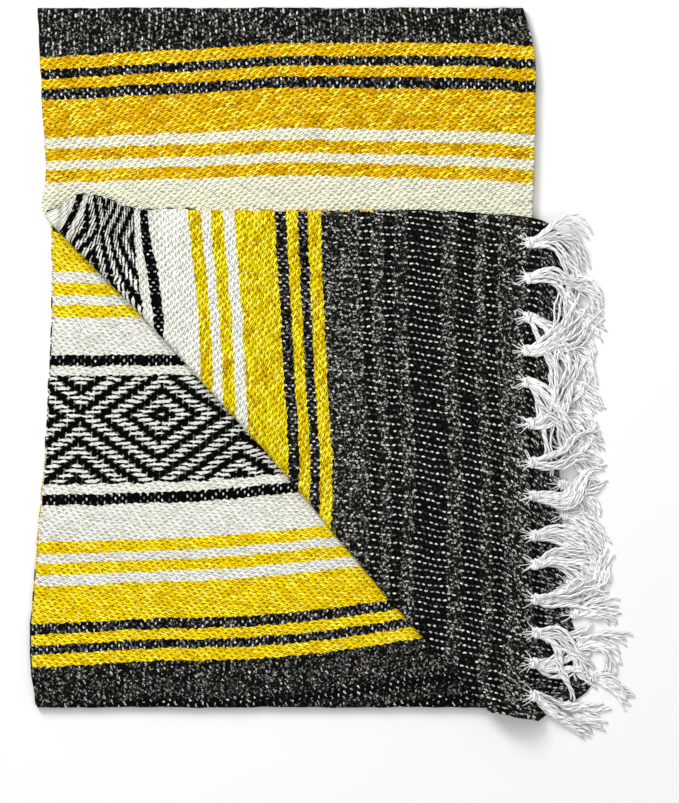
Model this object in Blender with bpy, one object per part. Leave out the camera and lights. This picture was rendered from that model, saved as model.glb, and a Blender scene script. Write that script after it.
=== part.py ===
"""A falsa blanket with knotted fringes, folded and laid down with one end turned back.

The cloth is doubled across its width, so that it is a strip of two plies. The strip
lies back and forth along its length: a tail on the floor, the under leaf over it, and
the top leaf over that. The top leaf's end is rolled back on a diagonal, and runs off
the pile to the right, where its fringe lies on the floor.

Every solid comes from one map. A point of the cloth has a place across it (u), a
place along its warp (v) and a place in its thickness. The map doubles the cloth at
u = 0, lays the strip in its own flat plane (x, s), and bends that plane at the folds.
"""

import math
import random

import bmesh
import bpy
import numpy as np

# The cloth, in metres
CLOTH_LENGTH = 1.880
CLOTH_WIDTH = 1.200
CLOTH_THICKNESS = 0.0022
PLY_PITCH = 0.0030
PEEK = 0.002

# The pile: s runs along the strip, from the top fold (s = 0) to the shown end
TOP_FOLD_Y = 0.420
BOTTOM_FOLD_Y = -0.4215
PAIR_PITCH = 2 * PLY_PITCH
FOLD_RADIUS = PAIR_PITCH / 2
LOWEST_PAIR_Z = CLOTH_THICKNESS / 2 + PLY_PITCH / 2
UNDER_RAMP_Y = (-0.115, -0.228)
TOP_RAMP_Y = (0.080, -0.225)

# The diagonal roll of the top leaf, and how the turned-back end settles and droops
ROLL_THROUGH = (-0.2711, 0.1604)
ROLL_DIRECTION = (0.6677, -0.7444)
ROLL_RADIUS = 0.0075
ROLL_BOW = 0.008
ROLL_BOW_LENGTH = 0.60
SETTLE_LENGTH = 0.110
DROOP_LENGTH = 0.062
DROOP_CLEARANCE = 0.003

# Sides of the strip laid flat: s, then x at the selvedges and x at the width fold
STRIP_SIDES = (
    # s, selvedge, fold
    (-1.065, -0.304, 0.263),
    (-0.860, -0.304, 0.266),
    (-0.792, -0.311, 0.271),
    (-0.654, -0.302, 0.279),
    (-0.464, -0.289, 0.290),
    (-0.294, -0.285, 0.296),
    (-0.116, -0.293, 0.298),
    (0.000, -0.301, 0.289),
    (0.040, -0.300, 0.299),
    (0.113, -0.296, 0.302),
    (0.215, -0.292, 0.299),
    (0.300, -0.310, 0.294),
    (0.497, -0.322, 0.281),
    (0.778, -0.345, 0.246),
    (0.825, -0.346, 0.244),
    (0.850, -0.342, 0.243),
    (0.870, -0.328, 0.244),
    (0.890, -0.305, 0.246),
    (1.060, -0.290, 0.262),
)

# How the plies lie along the strip: s + v, which is constant where nothing drifts.
# Ply a is the upper one of the under leaf, ply b the upper one of the top leaf.
PLY_STATIONS = (-0.600, -0.450, -0.300, -0.120, 0.000, 0.060, 0.120, 0.300, 0.450, 0.600)
PLY_DRIFT = (
    # s, ply a: selvedge, quarter, middle, near fold; fold; ply b: near, nearer, middle, quarter, selvedge
    (-1.000, 0.819, 0.829, 0.835, 0.857, 0.872, 0.874, 0.875, 0.877, 0.883, 0.889),
    (-0.800, 0.823, 0.831, 0.835, 0.857, 0.872, 0.874, 0.875, 0.877, 0.883, 0.889),
    (-0.600, 0.818, 0.821, 0.832, 0.856, 0.872, 0.876, 0.878, 0.885, 0.887, 0.889),
    (-0.400, 0.819, 0.819, 0.824, 0.853, 0.872, 0.876, 0.878, 0.885, 0.887, 0.889),
    (-0.190, 0.820, 0.820, 0.829, 0.856, 0.873, 0.876, 0.878, 0.885, 0.888, 0.890),
    (0.020, 0.818, 0.839, 0.855, 0.868, 0.877, 0.874, 0.874, 0.875, 0.884, 0.892),
    (0.220, 0.818, 0.848, 0.865, 0.879, 0.889, 0.885, 0.884, 0.880, 0.884, 0.887),
    (0.420, 0.816, 0.853, 0.872, 0.885, 0.893, 0.892, 0.891, 0.886, 0.882, 0.878),
    (0.620, 0.823, 0.846, 0.871, 0.893, 0.901, 0.910, 0.908, 0.898, 0.889, 0.885),
    (0.860, 0.826, 0.840, 0.872, 0.895, 0.915, 0.972, 0.950, 0.913, 0.892, 0.880),
    (1.060, 0.826, 0.840, 0.872, 0.895, 0.915, 0.972, 0.950, 0.913, 0.892, 0.880),
)

# Rows and columns of the cloth's faces, and the finer rows in a band at the shown end
STEPS_PLY = 11
COLUMN_CROWDING = 0.6
STEPS_WIDTH_FOLD = 4
STEPS_SHOWN_END = 12
STEPS_TURNED_BACK = 10
STEPS_ROLL = 8
STEPS_TOP_LEAF = 9
STEPS_FOLD = 5
UNDER_LEAF_ROWS_Y = (0.28, 0.12, -0.02, -0.115, -0.143, -0.171, -0.200, -0.228, -0.33)
STEPS_TAIL = 4
SHOWN_END_BAND = 0.030
LEAST_TURNED_BACK_SHARE = 0.35

# The fringes. Locks of the front one lie a little higher, over the ply behind
STRIP_GAP = 0.0004
STRIP_DEPTH = 0.0065
STRIP_START = 0.002
STRIP_END_FROM_FOLD = 0.014
STATION_CLEARANCE = 0.0008
TASSEL_SPACING = 0.041
TASSEL_JITTER = 0.005
TASSELS_FROM_EDGE = 0.012
HEAD_LENGTH = 0.010
HEAD_SWELL = 1.15
HEAD_CREST = 0.35
SWAY_SHARE = 1.4
SHORTEST_TASSEL = 0.88
SHORTEST_LOCK = 0.9
SWAY_BACK = 0.35
LOCK_WIDTH = 0.0022
LOCK_GAP = 0.0006
FRINGES = (
    # node, ply, end, locks in a tassel, segments, lock length, head height, lift, spread, seed
    ("fringe_front", "a", "shown", 4, 4, 0.066, 0.0034, 0.0013, 0.0036, 3),
    ("fringe_behind", "b", "shown", 3, 3, 0.046, 0.0016, 0.0, 0.0032, 5),
    ("fringe_tucked_lower", "a", "tucked", 1, 2, 0.042, 0.0, 0.0, 0.0, 7),
    ("fringe_tucked_upper", "b", "tucked", 1, 2, 0.042, 0.0, 0.0, 0.0, 11),
)

# Colours, linear, and roughness
CLOTH_COLOUR = (0.075, 0.070, 0.060, 1.0)
CLOTH_ROUGHNESS = 0.9
FRINGE_COLOUR = (0.78, 0.76, 0.70, 1.0)
FRINGE_ROUGHNESS = 0.85

SHARP_ANGLE = math.radians(50)
HALVINGS = 40
NORMAL_STEP = 1e-4

HALF_WIDTH = CLOTH_WIDTH / 2
PLY_RADIUS = PLY_PITCH / 2
QUARTER_TURN = PLY_RADIUS * math.pi / 2
STRIP_WIDTH = HALF_WIDTH - QUARTER_TURN + PLY_RADIUS
FOLD_ARC = math.pi * FOLD_RADIUS
ROLL_ARC = math.pi * ROLL_RADIUS
UNDER_LEAF_END = -(FOLD_ARC + TOP_FOLD_Y - BOTTOM_FOLD_Y)
ROLL_AXIS = np.array(ROLL_DIRECTION) / math.hypot(*ROLL_DIRECTION)
ROLL_OUTWARD = np.array((ROLL_AXIS[1], -ROLL_AXIS[0]))


def smooth_step(t):
    """0 to 1 with level ends: t squared times (3 - 2t), held outside 0 to 1."""
    t = np.clip(t, 0.0, 1.0)
    return t * t * (3 - 2 * t)


def curve_through(stations, values, at):
    """A cubic through the values, whose slope at a station is that of its neighbours."""
    stations = np.asarray(stations, float)
    values = np.asarray(values, float)
    slopes = np.gradient(values, stations, axis=0)
    at = np.clip(at, stations[0], stations[-1])
    left = np.clip(np.searchsorted(stations, at, side="right") - 1, 0, len(stations) - 2)
    width = stations[left + 1] - stations[left]
    t = (at - stations[left]) / width
    ease = t * t * (3 - 2 * t)
    lead_out = t * (1 - t) ** 2 * width
    lead_in = t * t * (t - 1) * width
    start, end = values[left], values[left + 1]
    if values.ndim > 1:
        ease, lead_out, lead_in = (part[..., None] for part in (ease, lead_out, lead_in))
    return start + (end - start) * ease + slopes[left] * lead_out + slopes[left + 1] * lead_in


def drift(u, s):
    """s + v of the cloth at u across it, where the strip is at s."""
    rows = np.array(PLY_DRIFT)
    u, s = np.broadcast_arrays(u, s)
    by_column = curve_through(rows[:, 0], rows[:, 1:], s)
    flat_u = u.ravel()
    found = [
        curve_through(PLY_STATIONS, column, value)
        for column, value in zip(by_column.reshape(len(flat_u), -1), flat_u)
    ]
    return np.array(found).reshape(u.shape)


def across_strip(u, outward):
    """The doubled cloth's section: fraction across the strip, and height off its middle.

    outward is the place in the thickness, measured away from the other ply.
    """
    beyond_fold = np.maximum(np.abs(u) - QUARTER_TURN, 0.0)
    turn = np.clip(u / PLY_RADIUS, -math.pi / 2, math.pi / 2)
    radius = PLY_RADIUS + outward
    across = STRIP_WIDTH - PLY_RADIUS - beyond_fold + radius * np.cos(turn)
    return across / STRIP_WIDTH, radius * np.sin(turn)


def flat_x(u, fraction, s):
    """x in the strip's flat plane. Ply b is a little wider than ply a."""
    sides = curve_through([row[0] for row in STRIP_SIDES], [row[1:] for row in STRIP_SIDES], s)
    x = sides[..., 0] + (sides[..., 1] - sides[..., 0]) * fraction
    return x - PEEK * np.clip(u / HALF_WIDTH, 0, 1)


def past_roll(x, s):
    """How far a point of the flat plane lies past the roll's axis."""
    dx = x - ROLL_THROUGH[0]
    dy = TOP_FOLD_Y - s - ROLL_THROUGH[1]
    along = dx * ROLL_AXIS[0] + dy * ROLL_AXIS[1]
    t = np.clip(along / ROLL_BOW_LENGTH, 0, 1)
    bow = 4 * ROLL_BOW * t * (1 - t)
    return dx * ROLL_OUTWARD[0] + dy * ROLL_OUTWARD[1] + bow


def under_leaf_z(y):
    """Height of the under leaf's middle: on the floor, then up over the tail."""
    rise = smooth_step((UNDER_RAMP_Y[0] - y) / (UNDER_RAMP_Y[0] - UNDER_RAMP_Y[1]))
    return LOWEST_PAIR_Z + PAIR_PITCH * rise


def top_leaf_z(y):
    """Height of the top leaf's middle, which sags onto the under leaf."""
    rise = smooth_step((TOP_RAMP_Y[0] - y) / (TOP_RAMP_Y[0] - TOP_RAMP_Y[1]))
    return LOWEST_PAIR_Z + PAIR_PITCH * (1 + rise)


def pile_side_x(y):
    """x of the pile's right side, where the turned-back end leaves it."""
    s_under = -(FOLD_ARC + TOP_FOLD_Y - y)
    side = curve_through([row[0] for row in STRIP_SIDES], [row[2] for row in STRIP_SIDES], s_under)
    s_top = TOP_FOLD_Y - y
    top = curve_through([row[0] for row in STRIP_SIDES], [row[2] for row in STRIP_SIDES], s_top)
    return np.maximum(side, top)


def strip_point(x, s):
    """The strip's middle surface in space, from its flat plane (x, s).

    s > 0 is the top leaf and, past the roll, the turned-back end. s < 0 goes round
    the top fold to the under leaf, then round the bottom fold to the tail.
    """
    x, s = np.broadcast_arrays(np.asarray(x, float), np.asarray(s, float))
    y = TOP_FOLD_Y - s
    past = past_roll(x, s)
    turn = np.clip(past / ROLL_RADIUS, 0, math.pi)
    back = np.maximum(past - ROLL_ARC, 0)
    shift = np.where(past > 0, ROLL_RADIUS * np.sin(turn) - back - past, 0.0)
    top_x = x + ROLL_OUTWARD[0] * shift
    top_y = y + ROLL_OUTWARD[1] * shift
    settled = smooth_step(back / SETTLE_LENGTH)
    lift = ROLL_RADIUS * (1 - np.cos(turn)) - (2 * ROLL_RADIUS - PAIR_PITCH) * settled
    top_z = top_leaf_z(top_y) + lift
    off_pile = top_x - pile_side_x(top_y) - DROOP_CLEARANCE
    droop = np.where(back > 0, smooth_step(off_pile / DROOP_LENGTH), 0.0)
    top_z = top_z - (top_z - LOWEST_PAIR_Z) * droop

    top_turn = np.clip(-s / FOLD_RADIUS, 0, math.pi)
    under_run = np.maximum(-s - FOLD_ARC, 0)
    bottom_turn = np.clip((UNDER_LEAF_END - s) / FOLD_RADIUS, 0, math.pi)
    tail_run = np.maximum(UNDER_LEAF_END - FOLD_ARC - s, 0)
    under_run = np.minimum(under_run, TOP_FOLD_Y - BOTTOM_FOLD_Y)
    low_y = TOP_FOLD_Y + FOLD_RADIUS * np.sin(top_turn) - under_run
    low_y = low_y - FOLD_RADIUS * np.sin(bottom_turn) + tail_run
    low_z = LOWEST_PAIR_Z + PAIR_PITCH - FOLD_RADIUS * (1 - np.cos(top_turn))
    low_z = np.where(under_run > 0, under_leaf_z(low_y), low_z)
    over_bottom = LOWEST_PAIR_Z + PAIR_PITCH - FOLD_RADIUS * (1 - np.cos(bottom_turn))
    low_z = np.where(bottom_turn > 0, over_bottom, low_z)

    on_top = s >= 0
    return np.stack(
        [np.where(on_top, top_x, x), np.where(on_top, top_y, low_y), np.where(on_top, top_z, low_z)],
        axis=-1,
    )


def strip_place(x, s, height):
    """A point at a height off the strip's middle, along the normal that faces up on the top leaf."""
    step = NORMAL_STEP
    along = strip_point(x, s + step) - strip_point(x, s - step)
    across = strip_point(x + step, s) - strip_point(x - step, s)
    normal = np.cross(along, across)
    normal /= np.linalg.norm(normal, axis=-1, keepdims=True)
    return strip_point(x, s) + normal * np.asarray(height)[..., None]


def roll_line(u, fraction, past_goal):
    """s where the strip line at u is past_goal beyond the roll's axis, by halving."""
    low = np.zeros_like(u)
    high = np.full_like(u, 1.0)
    for _ in range(HALVINGS):
        middle = (low + high) / 2
        reached = past_roll(flat_x(u, fraction, middle), middle) > past_goal
        high = np.where(reached, middle, high)
        low = np.where(reached, low, middle)
    return (low + high) / 2


def steps_between(start, end, count):
    """Rows from start up to, but without, end."""
    return [start + (end - start) * i / count for i in range(count)]


def cloth_ends(u):
    """s of the cloth's shown end and of its tucked end."""
    return drift(u, 1.0), drift(u, -1.0) - CLOTH_LENGTH


def cloth_rows(u, fraction):
    """The s of each row of the cloth, from the shown end to the tucked one."""
    shown_end, tucked_end = cloth_ends(u)
    band = np.minimum(shown_end, drift(-np.abs(u), 1.0)) - SHOWN_END_BAND
    roll_out = roll_line(u, fraction, ROLL_ARC)
    roll_in = roll_line(u, fraction, 0.0)
    band = np.maximum(band, roll_out + (shown_end - roll_out) * LEAST_TURNED_BACK_SHARE)
    level = np.zeros_like(u)
    rows = steps_between(shown_end, band, STEPS_SHOWN_END)
    rows += steps_between(band, roll_out, STEPS_TURNED_BACK)
    for i in range(STEPS_ROLL):
        rows.append(roll_line(u, fraction, ROLL_ARC * (1 - i / STEPS_ROLL)))
    rows += steps_between(roll_in, level, STEPS_TOP_LEAF)
    rows += steps_between(level, level - FOLD_ARC, STEPS_FOLD)
    rows.append(level - FOLD_ARC)
    rows += [level - FOLD_ARC - (TOP_FOLD_Y - y) for y in UNDER_LEAF_ROWS_Y]
    rows += steps_between(level + UNDER_LEAF_END, level + UNDER_LEAF_END - FOLD_ARC, STEPS_FOLD)
    rows += steps_between(level + UNDER_LEAF_END - FOLD_ARC, tucked_end, STEPS_TAIL)
    rows.append(tucked_end)
    return np.array(rows)


def cloth_columns():
    """u of each column: ply a from its selvedge, the turn of the width fold, ply b."""
    even = np.linspace(0, 1, STEPS_PLY + 1)
    ply = -HALF_WIDTH + (HALF_WIDTH - QUARTER_TURN) * (even * (1 + COLUMN_CROWDING * (1 - even)))
    turn = np.linspace(-QUARTER_TURN, QUARTER_TURN, STEPS_WIDTH_FOLD + 1)[1:-1]
    return np.concatenate([ply, turn, -ply[::-1]])


def mesh_object(name, points, faces, material, collection):
    """A closed object from points and faces, facing out, smooth but for its sharp edges."""
    mesh = bpy.data.meshes.new(name)
    mesh.from_pydata([tuple(point) for point in points], [], faces)
    mesh.validate()
    held = bmesh.new()
    held.from_mesh(mesh)
    bmesh.ops.recalc_face_normals(held, faces=held.faces)
    if held.calc_volume(signed=True) < 0:
        bmesh.ops.reverse_faces(held, faces=held.faces)
    held.to_mesh(mesh)
    held.free()
    mesh.shade_smooth()
    mesh.set_sharp_from_angle(angle=SHARP_ANGLE)
    mesh.materials.append(material)
    collection.objects.link(bpy.data.objects.new(name, mesh))


def closed_sheet(front, back):
    """Points and faces of a closed sheet, from two grids of points, rows first."""
    rows, columns = front.shape[:2]
    points = np.concatenate([front.reshape(-1, 3), back.reshape(-1, 3)])
    offset = rows * columns
    faces = []
    for i in range(rows - 1):
        for j in range(columns - 1):
            corner = i * columns + j
            loop = (corner, corner + columns, corner + columns + 1, corner + 1)
            faces.append(loop)
            faces.append(tuple(offset + k for k in reversed(loop)))
    rim = [j for j in range(columns)]
    rim += [i * columns + columns - 1 for i in range(1, rows)]
    rim += [(rows - 1) * columns + j for j in range(columns - 2, -1, -1)]
    rim += [i * columns for i in range(rows - 2, 0, -1)]
    for start, end in zip(rim, rim[1:] + rim[:1]):
        faces.append((start, end, offset + end, offset + start))
    return points, faces


def build_cloth(material, collection):
    """The woven cloth: one closed sheet through all its folds."""
    u = cloth_columns()
    surfaces = []
    middle_fraction, _ = across_strip(u, 0.0)
    s = cloth_rows(u, middle_fraction)
    for outward in (-CLOTH_THICKNESS / 2, CLOTH_THICKNESS / 2):
        fraction, height = across_strip(u, outward)
        x = flat_x(u[None, :], fraction[None, :], s)
        surfaces.append(strip_place(x, s, np.broadcast_to(height, s.shape)))
    points, faces = closed_sheet(surfaces[1], surfaces[0])
    mesh_object("blanket_cloth", points, faces, material, collection)


class FringeMesh:
    """Points and faces of one fringe, placed off the cloth's end on its own ply."""

    def __init__(self, ply, end):
        self.side = -1 if ply == "a" else 1
        self.shown = end == "shown"
        self.up = -1 if self.shown else 1
        self.columns = cloth_columns()
        self.ends = cloth_ends(self.columns)[0 if self.shown else 1]
        self.points = []
        self.faces = []

    def place(self, at, beyond, lateral, height):
        """A point off the cloth's end, on the line between the cloth's nearest columns.

        at is metres from the selvedge, and beyond is how far past the cloth's end.
        """
        u = self.side * (HALF_WIDTH - at)
        column = int(np.clip(np.searchsorted(self.columns, u) - 1, 0, len(self.columns) - 2))
        pair = slice(column, column + 2)
        s = self.ends[pair] + (beyond if self.shown else -beyond)
        fraction, middle = across_strip(self.columns[pair], 0.0)
        x = flat_x(self.columns[pair], fraction, s) + lateral
        start, end = strip_place(x, s, middle + self.up * height)
        share = (u - self.columns[column]) / (self.columns[column + 1] - self.columns[column])
        return start + (end - start) * share

    def ring(self, places):
        """Adds points and gives back their numbers."""
        first = len(self.points)
        self.points += [self.place(*place) for place in places]
        return list(range(first, len(self.points)))

    def bridge(self, start, end):
        """Quads between two rings that have the same number of points."""
        count = len(start)
        for k in range(count):
            following = (k + 1) % count
            self.faces.append((start[k], start[following], end[following], end[k]))


def tassel_places(rng):
    """Centres of the tassels, from the selvedge to the width fold."""
    run = HALF_WIDTH - 2 * TASSELS_FROM_EDGE
    count = round(run / TASSEL_SPACING)
    even = [TASSELS_FROM_EDGE + run * (i + 0.5) / count for i in range(count)]
    return [at + rng.uniform(-TASSEL_JITTER, TASSEL_JITTER) for at in even]


def lock_edges(centre, locks):
    """Edges of a tassel's locks and of the gaps between them, across the end."""
    width = locks * LOCK_WIDTH + (locks - 1) * LOCK_GAP
    edges = []
    for i in range(locks):
        left = centre - width / 2 + i * (LOCK_WIDTH + LOCK_GAP)
        edges += [left, left + LOCK_WIDTH]
    return edges


def strip_stations(mesh, tassels):
    """Places across the backing strip: its ends, the tassels' edges, and the cloth's columns between."""
    start, end = STRIP_START, HALF_WIDTH - STRIP_END_FROM_FOLD
    stations = [start, end] + [edge for edges in tassels for edge in edges]
    for at in HALF_WIDTH - mesh.side * mesh.columns:
        near_tassel = any(
            edges[0] - STATION_CLEARANCE < at < edges[-1] + STATION_CLEARANCE for edges in tassels
        )
        if start + STATION_CLEARANCE < at < end - STATION_CLEARANCE and not near_tassel:
            stations.append(at)
    return sorted(stations)


def build_fringe(row, material, collection):
    """One narrow strip off the cloth's end, with a head and its locks for each tassel."""
    name, ply, end, locks, segments, length, head_height, lift, spread, seed = row
    rng = random.Random(seed)
    mesh = FringeMesh(ply, end)
    half = CLOTH_THICKNESS / 2
    centres = tassel_places(rng)
    tassels = [lock_edges(centre, locks) for centre in centres]
    stations = strip_stations(mesh, tassels)
    spans = [(stations.index(edges[0]), len(edges)) for edges in tassels]
    near, far = STRIP_GAP, STRIP_GAP + STRIP_DEPTH
    inner_low = mesh.ring([(at, near, 0.0, -half) for at in stations])
    inner_high = mesh.ring([(at, near, 0.0, half) for at in stations])
    outer_low = mesh.ring([(at, far, 0.0, -half) for at in stations])
    outer_high = mesh.ring([(at, far, 0.0, half) for at in stations])
    last = len(stations) - 1
    tassel_cells = {first + k for first, count in spans for k in range(count - 1)}
    for j in range(last):
        mesh.faces.append((inner_low[j], inner_low[j + 1], inner_high[j + 1], inner_high[j]))
        mesh.faces.append((inner_high[j], inner_high[j + 1], outer_high[j + 1], outer_high[j]))
        mesh.faces.append((outer_low[j], outer_low[j + 1], inner_low[j + 1], inner_low[j]))
        if j not in tassel_cells:
            mesh.faces.append((outer_high[j], outer_high[j + 1], outer_low[j + 1], outer_low[j]))
    mesh.faces.append((inner_low[0], inner_high[0], outer_high[0], outer_low[0]))
    mesh.faces.append((inner_low[last], outer_low[last], outer_high[last], inner_high[last]))

    for centre, (first, count) in zip(centres, spans):
        edges = stations[first : first + count]
        low = outer_low[first : first + count]
        high = outer_high[first : first + count]
        ring = high + low[::-1]
        if head_height > 0:
            crest = (HEAD_CREST, HEAD_SWELL, head_height, -half)
            neck = (1.0, 1.0, half + lift, lift - half)
            for beyond, swell, top, bottom in (crest, neck):
                lateral = [(at - centre) * (swell - 1) for at in edges]
                reach = far + HEAD_LENGTH * beyond
                over = [(at, reach, side, top) for at, side in zip(edges, lateral)]
                under = [(at, reach, side, bottom) for at, side in zip(edges, lateral)]
                new_ring = mesh.ring(over + under[::-1])
                mesh.bridge(ring, new_ring)
                ring = new_ring
            root = far + HEAD_LENGTH
        else:
            root = far
        high, low = ring[:count], ring[count:][::-1]
        sway = rng.uniform(-1, 1) * spread * SWAY_SHARE
        reach = length * rng.uniform(SHORTEST_TASSEL, 1.0)
        for i in range(locks):
            left, right = 2 * i, 2 * i + 1
            ring = [high[left], high[right], low[right], low[left]]
            fan = (i - (locks - 1) / 2) * spread
            lock_length = reach * rng.uniform(SHORTEST_LOCK, 1.0)
            for k in range(1, segments + 1):
                t = k / segments
                lateral = fan * t + sway * (t * t - SWAY_BACK * math.sin(math.pi * t))
                at_left, at_right = edges[left], edges[right]
                beyond = root + lock_length * t
                top, bottom = lift + half, lift - half
                corners = ((at_left, top), (at_right, top), (at_right, bottom), (at_left, bottom))
                new_ring = mesh.ring([(at, beyond, lateral, height) for at, height in corners])
                mesh.bridge(ring, new_ring)
                ring = new_ring
            mesh.faces.append(tuple(ring))
            if i + 1 < locks:
                mesh.faces.append((high[right], high[right + 1], low[right + 1], low[right]))
    mesh_object(name, mesh.points, mesh.faces, material, collection)


def principled(name, colour, roughness):
    """A plain cloth material."""
    material = bpy.data.materials.new(name)
    material.use_nodes = True
    shader = material.node_tree.nodes["Principled BSDF"]
    shader.inputs["Base Color"].default_value = colour
    shader.inputs["Roughness"].default_value = roughness
    shader.inputs["Metallic"].default_value = 0.0
    return material


def main():
    for obj in list(bpy.data.objects):
        bpy.data.objects.remove(obj, do_unlink=True)
    collection = bpy.data.collections.new("falsa_blanket")
    bpy.context.scene.collection.children.link(collection)
    build_cloth(principled("cloth_wool", CLOTH_COLOUR, CLOTH_ROUGHNESS), collection)
    for row in FRINGES:
        cotton = principled(row[0] + "_cotton", FRINGE_COLOUR, FRINGE_ROUGHNESS)
        build_fringe(row, cotton, collection)


main()
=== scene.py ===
# %% [markdown]
# # A folded falsa blanket, dressed
# This lesson dresses a woven blanket that lies folded on a pale floor, with one end turned back.
# The real one is a single cloth with stripes, two diamond bands and knotted fringes.
# Every surface here is worked out with numpy from one map, so the cloth, its pattern and its
# fringes agree with one another and with the solid part.

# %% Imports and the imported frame
import math

import bpy
import numpy as np
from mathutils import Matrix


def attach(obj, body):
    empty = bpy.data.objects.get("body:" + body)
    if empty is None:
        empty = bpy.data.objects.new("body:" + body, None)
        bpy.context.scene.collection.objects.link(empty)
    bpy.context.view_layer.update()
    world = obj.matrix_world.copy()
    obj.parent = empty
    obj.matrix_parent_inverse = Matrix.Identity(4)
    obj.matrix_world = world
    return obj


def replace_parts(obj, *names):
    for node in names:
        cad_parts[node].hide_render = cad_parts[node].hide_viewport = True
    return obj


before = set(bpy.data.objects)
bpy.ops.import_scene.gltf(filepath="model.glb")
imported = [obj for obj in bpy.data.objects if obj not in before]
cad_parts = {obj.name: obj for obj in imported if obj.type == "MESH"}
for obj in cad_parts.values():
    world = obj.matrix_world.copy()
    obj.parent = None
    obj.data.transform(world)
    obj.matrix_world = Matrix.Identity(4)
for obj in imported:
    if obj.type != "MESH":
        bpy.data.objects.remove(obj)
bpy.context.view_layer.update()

# %% [markdown]
# ## The cloth's sizes
# A weaver knows this blanket by its length, its width and its thickness. The rest of the
# numbers say how it was folded: doubled across its width, laid back and forth in leaves, and
# its top leaf rolled back on a diagonal. They could be measured off the solid, but the fold
# formulas need them exactly, so they are the part's own values, in metres.

# %% Sizes of the cloth and of its folds
CLOTH_LENGTH = 1.880
CLOTH_WIDTH = 1.200
CLOTH_THICKNESS = 0.0022
PLY_PITCH = 0.0030
PEEK = 0.002
TOP_FOLD_Y = 0.420
BOTTOM_FOLD_Y = -0.4215
PAIR_PITCH = 2 * PLY_PITCH
FOLD_RADIUS = PAIR_PITCH / 2
LOWEST_PAIR_Z = CLOTH_THICKNESS / 2 + PLY_PITCH / 2
UNDER_RAMP_Y = (-0.115, -0.228)
TOP_RAMP_Y = (0.080, -0.225)
ROLL_THROUGH = (-0.2711, 0.1604)
ROLL_DIRECTION = (0.6677, -0.7444)
ROLL_RADIUS = 0.0075
ROLL_BOW = 0.008
ROLL_BOW_LENGTH = 0.60
SETTLE_LENGTH = 0.110
DROOP_LENGTH = 0.062
DROOP_CLEARANCE = 0.003

HALF_WIDTH = CLOTH_WIDTH / 2
PLY_RADIUS = PLY_PITCH / 2
QUARTER_TURN = PLY_RADIUS * math.pi / 2
STRIP_WIDTH = HALF_WIDTH - QUARTER_TURN + PLY_RADIUS
FOLD_ARC = math.pi * FOLD_RADIUS
ROLL_ARC = math.pi * ROLL_RADIUS
UNDER_LEAF_END = -(FOLD_ARC + TOP_FOLD_Y - BOTTOM_FOLD_Y)
ROLL_AXIS = np.array(ROLL_DIRECTION) / math.hypot(*ROLL_DIRECTION)
ROLL_OUTWARD = np.array((ROLL_AXIS[1], -ROLL_AXIS[0]))
print("strip", round(STRIP_WIDTH, 4), "m wide; under leaf ends at s =", round(UNDER_LEAF_END, 4))

# %% [markdown]
# ## Where the sides and the plies lie
# Folding by hand leaves each side a little bowed, and lets the plies slip along one another.
# A scan could give both, and here two short tables do. They follow the part's tables, with a
# few more rows round the tip of the diagonal fold, where small pleats take up cloth and crowd
# the stripes together.

# %% Tables: the strip's two sides, and how far the plies lie along it
STRIP_SIDES = np.array(
    [
        # s, selvedge x, fold x
        (-1.065, -0.304, 0.263),
        (-0.860, -0.304, 0.266),
        (-0.792, -0.311, 0.271),
        (-0.654, -0.302, 0.279),
        (-0.464, -0.289, 0.290),
        (-0.294, -0.285, 0.296),
        (-0.116, -0.293, 0.298),
        (0.000, -0.301, 0.289),
        (0.040, -0.300, 0.299),
        (0.113, -0.296, 0.302),
        (0.215, -0.294, 0.299),
        (0.262, -0.306, 0.297),
        (0.290, -0.326, 0.295),
        (0.318, -0.326, 0.293),
        (0.350, -0.314, 0.291),
        (0.400, -0.317, 0.288),
        (0.497, -0.322, 0.281),
        (0.778, -0.345, 0.246),
        (0.825, -0.346, 0.244),
        (0.850, -0.342, 0.243),
        (0.870, -0.328, 0.244),
        (0.890, -0.305, 0.246),
        (1.060, -0.290, 0.262),
    ]
)
PLY_STATIONS = np.array((-0.600, -0.450, -0.300, -0.120, 0.000, 0.060, 0.120, 0.300, 0.450, 0.600))
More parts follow.
